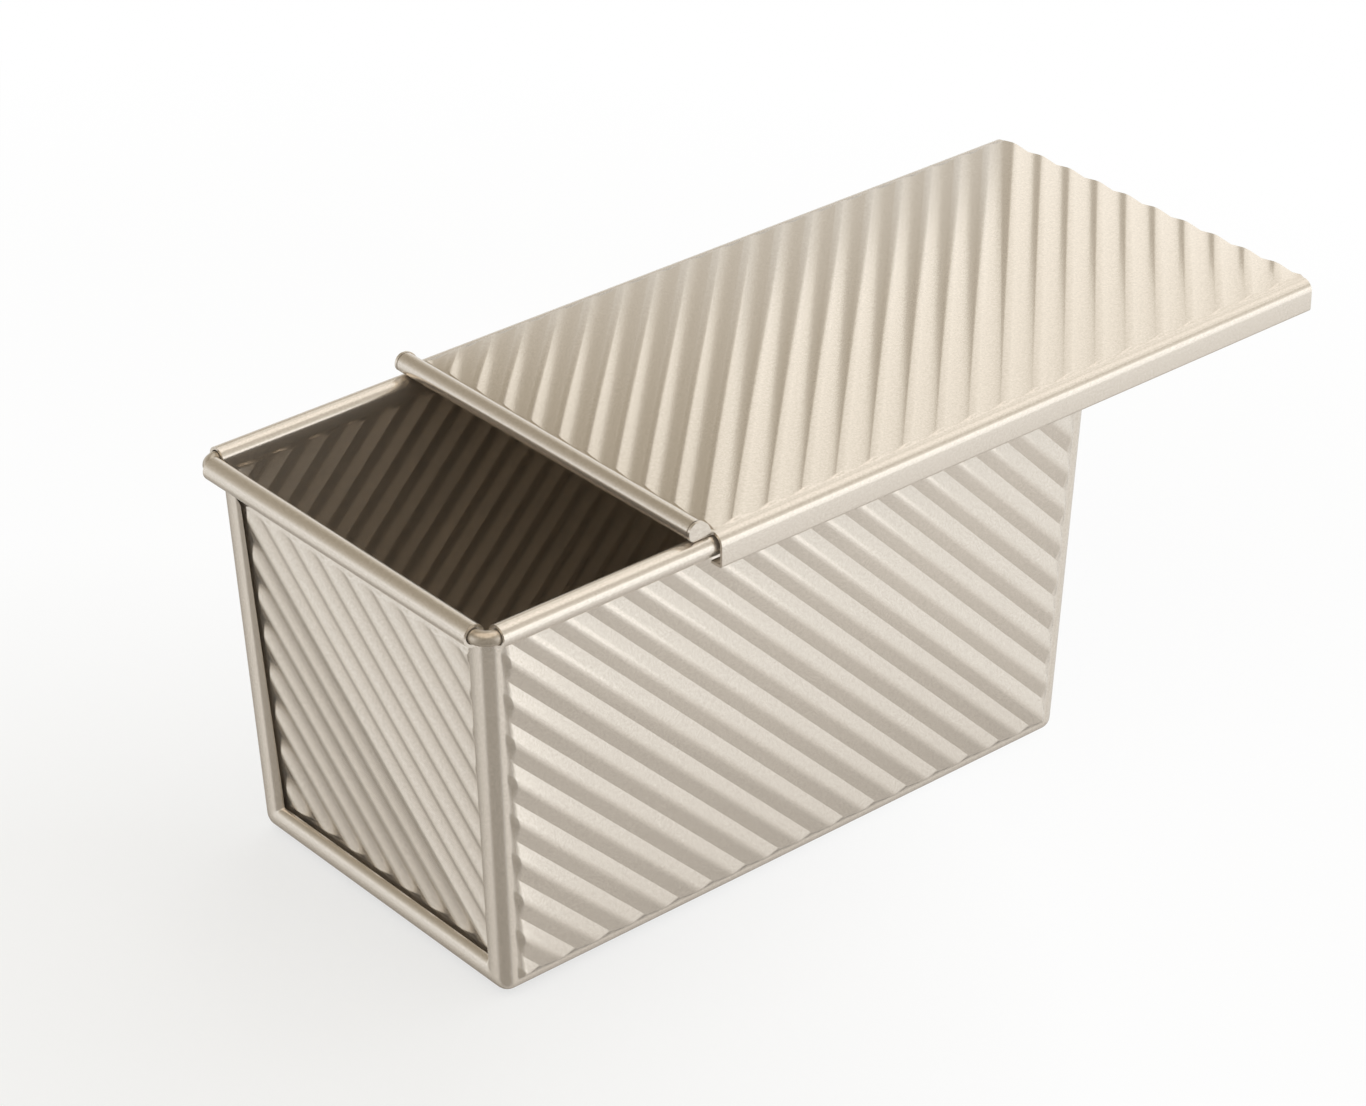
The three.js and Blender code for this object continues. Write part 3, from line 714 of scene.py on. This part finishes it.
def fold_lid(along, across, lift=0):
    """Folds a point of the lid's blank. Along is X, and across runs from flange to flange."""
    side = math.copysign(1, across)
    on_ear = along < LID_EAR_REAR + MERGE
    path, root = (LID_EAR, LID_BEAD_HALF) if on_ear else (LID_SIDE, LID_BEND)
    skins = []
    for offset in (0, -SHEET):
        if abs(across) > root + MERGE:
            a, b = path.at(abs(across) - root, offset)
            skins.append((along, side * a, b))
        elif along < LID_BEAD:
            a, b = LID_FRONT.at(LID_BEAD - along, offset)
            skins.append((-a, across, b))
        else:
            skins.append((along, across, LID_TOP + offset + lift))
    return (along, across), *skins


def lid_ear_row(stop):
    """Front and rear of the ear that closes an end of the bead, at a distance past its root."""
    bend = LID_EAR_BEND * QUARTER
    turned = min(1, stop / bend)
    rise = LID_EAR_BEND * (1 - math.cos(turned * QUARTER))
    if stop > bend:
        rise = stop - bend + LID_EAR_BEND
    front = turned * math.sqrt(LID_EAR_ROUND**2 - (rise - LID_CURL) ** 2)
    rear = (LID_EAR_REAR - LID_BEAD) * math.sqrt(1 - (rise / LID_EAR_HEIGHT) ** 2)
    return LID_BEAD - front, LID_BEAD + rear


def lid_ear(side):
    """Rows of points of one ear, from its root to its top."""
    bend = LID_EAR_BEND * QUARTER
    stops = [stop for stop in LID_EAR.stops if stop < bend + MERGE]
    low = math.asin((LID_EAR_BEND - LID_CURL) / LID_EAR_ROUND)
    turn = math.radians(LID_EAR_TOP) - low
    for step in range(1, EAR_STEPS + 1):
        rise = LID_CURL + LID_EAR_ROUND * math.sin(low + turn * step / EAR_STEPS)
        stops.append(bend + rise - LID_EAR_BEND)
    return [
        [fold_lid(along, side * (LID_BEAD_HALF + stop)) for along in lid_ear_row(stop)]
        for stop in stops
    ]


def lid_panel():
    """Lid: a ribbed panel, flanges with lips, a bead at the front and an ear at each side."""
    blank = Blank()

    def corners(front_inset, side_inset):
        front, half = LID_FLANGE_FRONT + front_inset, LID_BEND - side_inset
        return [(front, -half), (LID_REAR, -half), (LID_REAR, half), (front, half)]

    def front_row(along):
        return [fold_lid(along, side * LID_BEAD_HALF) for side in (-1, 1)]

    def side_row(side):
        corner = fold_lid(LID_EAR_REAR, side * LID_BEAD_HALF)
        return [corner] + [fold_lid(x, side * LID_BEND) for x in (LID_FLANGE_FRONT, LID_REAR)]

    edge = corners(LID_FRONT_MARGIN, LID_SIDE_MARGIN)
    field = corners(LID_FRONT_MARGIN + LID_FRONT_FADE, LID_SIDE_MARGIN + LID_SIDE_FADE)
    ribs = Ribs(LID_CREST, RIB_PITCH, LID_RIB_HEIGHT)
    panel = RibbedPanel(blank, field, edge, ribs, fold_lid)
    blank.strip(panel.side(0), side_row(-1))
    blank.strip(panel.side(2), side_row(1)[::-1])
    blank.strip(panel.side(3), front_row(LID_EAR_REAR)[::-1])

    # Plain front strip and the bead curled up from it
    blank.grid([front_row(LID_EAR_REAR), front_row(LID_BEAD)])
    blank.grid([front_row(LID_BEAD - stop) for stop in LID_FRONT.stops])

    # Flanges with their lips, and the ears
    for side in (-1, 1):
        blank.grid([
            [fold_lid(along, side * (LID_BEND + stop)) for along in (LID_FLANGE_FRONT, LID_REAR)]
            for stop in LID_SIDE.stops
        ])
        blank.grid(lid_ear(side))
    return blank.solid("lid_sheet")


def node(tree, kind, **settings):
    """A new node of a tree, with its settings."""
    made = tree.nodes.new(kind)
    for name, value in settings.items():
        setattr(made, name, value)
    return made


def color_ramp(tree, stops):
    """A ramp through colours at their places from 0 to 1."""
    ramp = node(tree, "ShaderNodeValToRGB")
    elements = ramp.color_ramp.elements
    elements.remove(elements[1])
    elements[0].position = stops[0][0]
    for number, (place, color) in enumerate(stops):
        element = elements.new(place) if number else elements[0]
        element.color = (*color, 1)
    return ramp


def coated_metal(name, light, dark, roughness):
    """Champagne coating: metallic, with a fine grain in colour and relief."""
    material = bpy.data.materials.new(name)
    material.use_nodes = True
    tree = material.node_tree
    shader = tree.nodes["Principled BSDF"]
    shader.inputs["Metallic"].default_value = METAL_SHARE
    shader.inputs["Roughness"].default_value = roughness
    place = node(tree, "ShaderNodeTexCoord")
    grain = node(tree, "ShaderNodeTexNoise")
    grain.inputs["Scale"].default_value = GRAIN_SCALE
    grain.inputs["Detail"].default_value = GRAIN_DETAIL
    tree.links.new(place.outputs["Object"], grain.inputs["Vector"])
    ramp = color_ramp(tree, [(GRAIN_DARK_SHARE, dark), (GRAIN_LIGHT_SHARE, light)])
    tree.links.new(grain.outputs["Fac"], ramp.inputs["Fac"])
    tree.links.new(ramp.outputs["Color"], shader.inputs["Base Color"])
    bump = node(tree, "ShaderNodeBump")
    bump.inputs["Strength"].default_value = GRAIN_RELIEF_SHARE
    bump.inputs["Distance"].default_value = GRAIN_RELIEF
    tree.links.new(grain.outputs["Fac"], bump.inputs["Height"])
    tree.links.new(bump.outputs["Normal"], shader.inputs["Normal"])
    return material


def dress(made, node_name, body, material):
    """Gives a piece its material and its body, and hides the solid that it stands for."""
    made.data.materials.append(material)
    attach(made, body)
    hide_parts(node_name)


def build_object():
    """The five pieces, in the order of the bodies that carry them."""
    coat = coated_metal("champagne_coat", COAT_LIGHT, COAT_DARK, COAT_ROUGHNESS)
    # The wire's material carries painted shade in its darker colours.
    shaded_wire_coat = coated_metal("shaded_wire_coat", WIRE_SHADED_COAT_LIGHT, WIRE_SHADED_COAT_DARK, WIRE_COAT_ROUGHNESS)
    dress(body_wrapper(), "body_wrapper", "pan", coat)
    dress(end_plate("front_plate_sheet"), "front_end_plate", "pan", coat)
    rear = end_plate("rear_plate_sheet")
    rear.data.transform(Matrix.Rotation(math.pi, 4, "Z"))
    dress(rear, "rear_end_plate", "pan", coat)
    dress(rim_wire(), "rim_wire", "pan", shaded_wire_coat)
    dress(lid_panel(), "lid_panel", "lid", coat)


def for_ray(tree, ray, kind, shader):
    """Puts a shader of another kind in place of part of a shader, for one kind of ray only.
    Returns the mix and the input for that part's share."""
    share = node(tree, "ShaderNodeMath", operation="MULTIPLY")
    mix = node(tree, "ShaderNodeMixShader")
    path = node(tree, "ShaderNodeLightPath")
    tree.links.new(path.outputs[ray], share.inputs[0])
    tree.links.new(share.outputs[0], mix.inputs["Fac"])
    tree.links.new(shader.outputs[0], mix.inputs[1])
    tree.links.new(node(tree, kind).outputs[0], mix.inputs[2])
    return mix, share.inputs[1]


def floor_material():
    """White floor that keeps soft shadows. Glossy rays pass most of it and see the surround."""
    material = bpy.data.materials.new("pale_floor")
    material.use_nodes = True
    tree = material.node_tree
    shader = tree.nodes["Principled BSDF"]
    shader.inputs["Base Color"].default_value = FLOOR_COLOR
    shader.inputs["Roughness"].default_value = 1
    shader.inputs["Specular IOR Level"].default_value = 0
    place = node(tree, "ShaderNodeTexCoord")
    distance = node(tree, "ShaderNodeVectorMath", operation="DISTANCE")
    distance.inputs[1].default_value = FLOOR_SHADED_PLACE
    white = color_ramp(tree, [(far, (share, share, share)) for far, share in FLOOR_WHITE_SHARES])
    tree.links.new(place.outputs["Object"], distance.inputs[0])
    tree.links.new(distance.outputs["Value"], white.inputs["Fac"])
    shown, white_share = for_ray(tree, "Is Camera Ray", "ShaderNodeEmission", shader)
    tree.links.new(white.outputs["Color"], white_share)
    passed, clear_share = for_ray(tree, "Is Glossy Ray", "ShaderNodeBsdfTransparent", shown)
    clear_share.default_value = FLOOR_CLEAR_SHARE
    tree.links.new(passed.outputs[0], tree.nodes["Material Output"].inputs["Surface"])
    return material


def add_floor():
    """Flat floor that reaches past the view on all sides."""
    corners = [(-1, -1), (1, -1), (1, 1), (-1, 1)]
    mesh = bpy.data.meshes.new("floor")
    places = [(x * FLOOR_HALF, y * FLOOR_HALF, 0) for x, y in corners]
    mesh.from_pydata(places, [], [range(len(corners))])
    mesh.materials.append(floor_material())
    floor = bpy.data.objects.new("floor", mesh)
    bpy.context.scene.collection.objects.link(floor)


def add_sun(name, azimuth, elevation, width, strength, color=(1, 1, 1)):
    """A wide soft light from one direction."""
    light = bpy.data.lights.new(name, "SUN")
    light.angle = math.radians(width)
    light.energy = strength
    light.color = color
    lamp = bpy.data.objects.new(name, light)
    lamp.rotation_euler = (0, QUARTER - math.radians(elevation), math.radians(azimuth))
    bpy.context.scene.collection.objects.link(lamp)


def add_world():
    """Studio surround: white round the horizon, dimmer and warmer above and below."""
    world = bpy.data.worlds.new("studio")
    world.use_nodes = True
    tree = world.node_tree
    place = node(tree, "ShaderNodeTexCoord")
    axes = node(tree, "ShaderNodeSeparateXYZ")

    # The sine of the elevation runs from -1 to 1, and a ramp from 0 to 1
    half = 1 / 2
    height = node(tree, "ShaderNodeMath", operation="MULTIPLY_ADD")
    height.inputs[1].default_value = half
    height.inputs[2].default_value = half
    by_height = color_ramp(tree, [(sine * half + half, color) for sine, color in SURROUND])
    tree.links.new(place.outputs["Generated"], axes.inputs["Vector"])
    tree.links.new(axes.outputs["Z"], height.inputs[0])
    tree.links.new(height.outputs[0], by_height.inputs["Fac"])

    level = by_height.outputs["Color"]
    for direction, shares in DIM_SHARES:
        toward = node(tree, "ShaderNodeVectorMath", operation="DOT_PRODUCT")
        toward.inputs[1].default_value = direction
        by_side = color_ramp(tree, shares)
        dim = node(tree, "ShaderNodeVectorMath", operation="MULTIPLY")
        tree.links.new(place.outputs["Generated"], toward.inputs[0])
        tree.links.new(toward.outputs["Value"], by_side.inputs["Fac"])
        tree.links.new(level, dim.inputs[0])
        tree.links.new(by_side.outputs["Color"], dim.inputs[1])
        level = dim.outputs["Vector"]
    tree.links.new(level, tree.nodes["Background"].inputs["Color"])
    bpy.context.scene.world = world


def add_camera():
    """Camera at the photograph's place, turned by its yaw, pitch and roll."""
    yaw, pitch, roll = CAMERA_YAW, CAMERA_PITCH, CAMERA_ROLL
    flat = math.cos(pitch)
    forward = Vector((flat * math.cos(yaw), flat * math.sin(yaw), -math.sin(pitch)))
    level_right = forward.cross(Vector((0, 0, 1))).normalized()
    level_up = level_right.cross(forward)
    right = level_right * math.cos(roll) + level_up * math.sin(roll)
    up = level_up * math.cos(roll) - level_right * math.sin(roll)
    lens = bpy.data.cameras.new("camera")
    lens.sensor_width = SENSOR
    lens.lens = LENS
    camera = bpy.data.objects.new("camera", lens)
    turn = Matrix((right, up, -forward)).transposed().to_4x4()
    camera.matrix_world = Matrix.Translation(CAMERA_PLACE) @ turn
    bpy.context.scene.collection.objects.link(camera)
    bpy.context.scene.camera = camera


build_object()
add_floor()
add_world()
for sun_name, values in SUNS.items():
    add_sun(sun_name, *values)
add_camera()
bpy.context.scene.view_settings.view_transform = "Standard"
